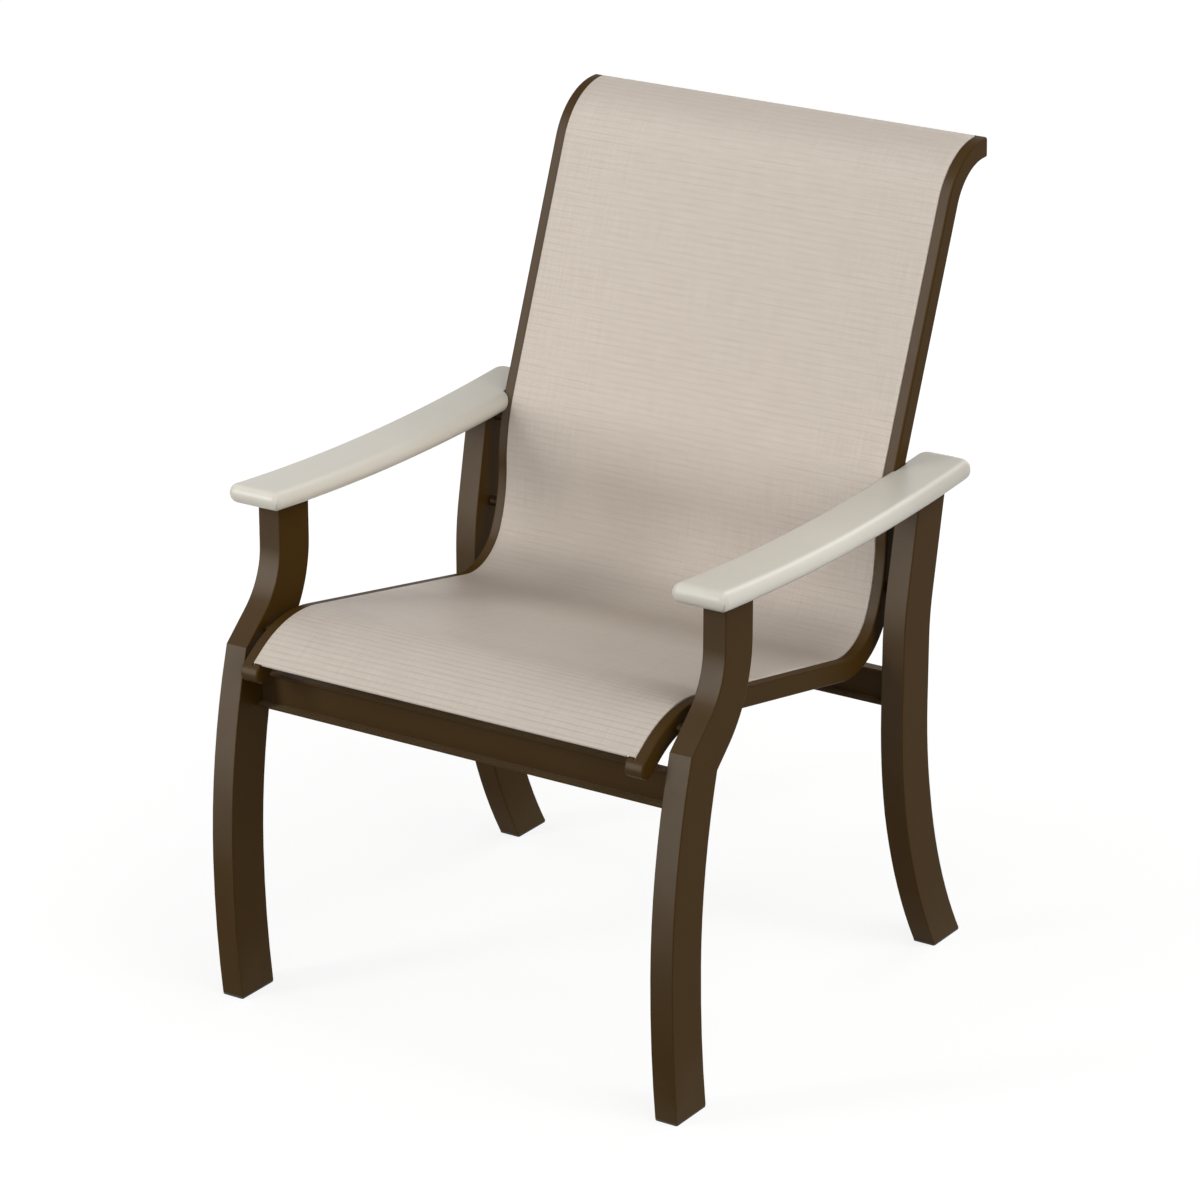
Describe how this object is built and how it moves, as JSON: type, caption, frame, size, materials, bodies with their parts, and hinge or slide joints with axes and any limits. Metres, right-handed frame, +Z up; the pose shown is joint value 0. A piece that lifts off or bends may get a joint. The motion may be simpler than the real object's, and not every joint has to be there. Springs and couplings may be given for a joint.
{
  "type": "sling patio chair",
  "caption": "Outdoor armchair with a woven sheet stretched between bent side rails, on bent flat-sided tube legs, with curved polymer armrests.",
  "frame": {"origin": "on the floor, under the middle of the chair's overall box", "axes": "+X to the right as seen from in front of the chair, +Y to the rear (the sitter faces -Y), +Z up"},
  "size_m": [0.7056, 0.7794, 1.01],
  "materials": {
    "frame_coat": "satin dark bronze powder coat",
    "arm_polymer": "matte off-white moulded polymer",
    "sling_weave": "woven vinyl-coated polyester mesh, beige and taupe",
    "fastener_steel": "plain stainless",
    "nylon_trim": "dark nylon",
    "spline_vinyl": "white extruded vinyl"
  },
  "bodies": {
    "root": {"left_front_leg": "frame_coat", "left_front_foot_glide": "nylon_trim", "left_rear_leg": "frame_coat", "left_rear_foot_glide": "nylon_trim", "left_arm_screw_1": "fastener_steel", "left_arm_screw_2": "fastener_steel", "left_arm_screw_3": "fastener_steel", "left_armrest": "arm_polymer", "left_arm_bar": "frame_coat", "left_sling_rail": "frame_coat", "left_rail_nose_cap": "frame_coat", "left_rail_top_cap": "frame_coat", "left_spline": "spline_vinyl", "left_front_rail_spacer": "frame_coat", "left_front_rail_bolt": "fastener_steel", "left_front_weld_nut": "fastener_steel", "left_lower_rail_spacer": "frame_coat", "left_lower_rail_bolt": "fastener_steel", "left_lower_weld_nut": "fastener_steel", "left_upper_rail_spacer": "frame_coat", "left_upper_rail_bolt": "fastener_steel", "left_upper_weld_nut": "fastener_steel", "left_spreader_plug": "nylon_trim", "right_front_leg": "frame_coat", "right_front_foot_glide": "nylon_trim", "right_rear_leg": "frame_coat", "right_rear_foot_glide": "nylon_trim", "right_arm_screw_1": "fastener_steel", "right_arm_screw_2": "fastener_steel", "right_arm_screw_3": "fastener_steel", "right_armrest": "arm_polymer", "right_arm_bar": "frame_coat", "right_sling_rail": "frame_coat", "right_rail_nose_cap": "frame_coat", "right_rail_top_cap": "frame_coat", "right_spline": "spline_vinyl", "right_front_rail_spacer": "frame_coat", "right_front_rail_bolt": "fastener_steel", "right_front_weld_nut": "fastener_steel", "right_lower_rail_spacer": "frame_coat", "right_lower_rail_bolt": "fastener_steel", "right_lower_weld_nut": "fastener_steel", "right_upper_rail_spacer": "frame_coat", "right_upper_rail_bolt": "fastener_steel", "right_upper_weld_nut": "fastener_steel", "right_spreader_plug": "nylon_trim", "front_stretcher": "frame_coat", "rear_stretcher": "frame_coat", "back_spreader_bar": "frame_coat", "sling_fabric": "sling_weave"}
  },
  "joints": []
}
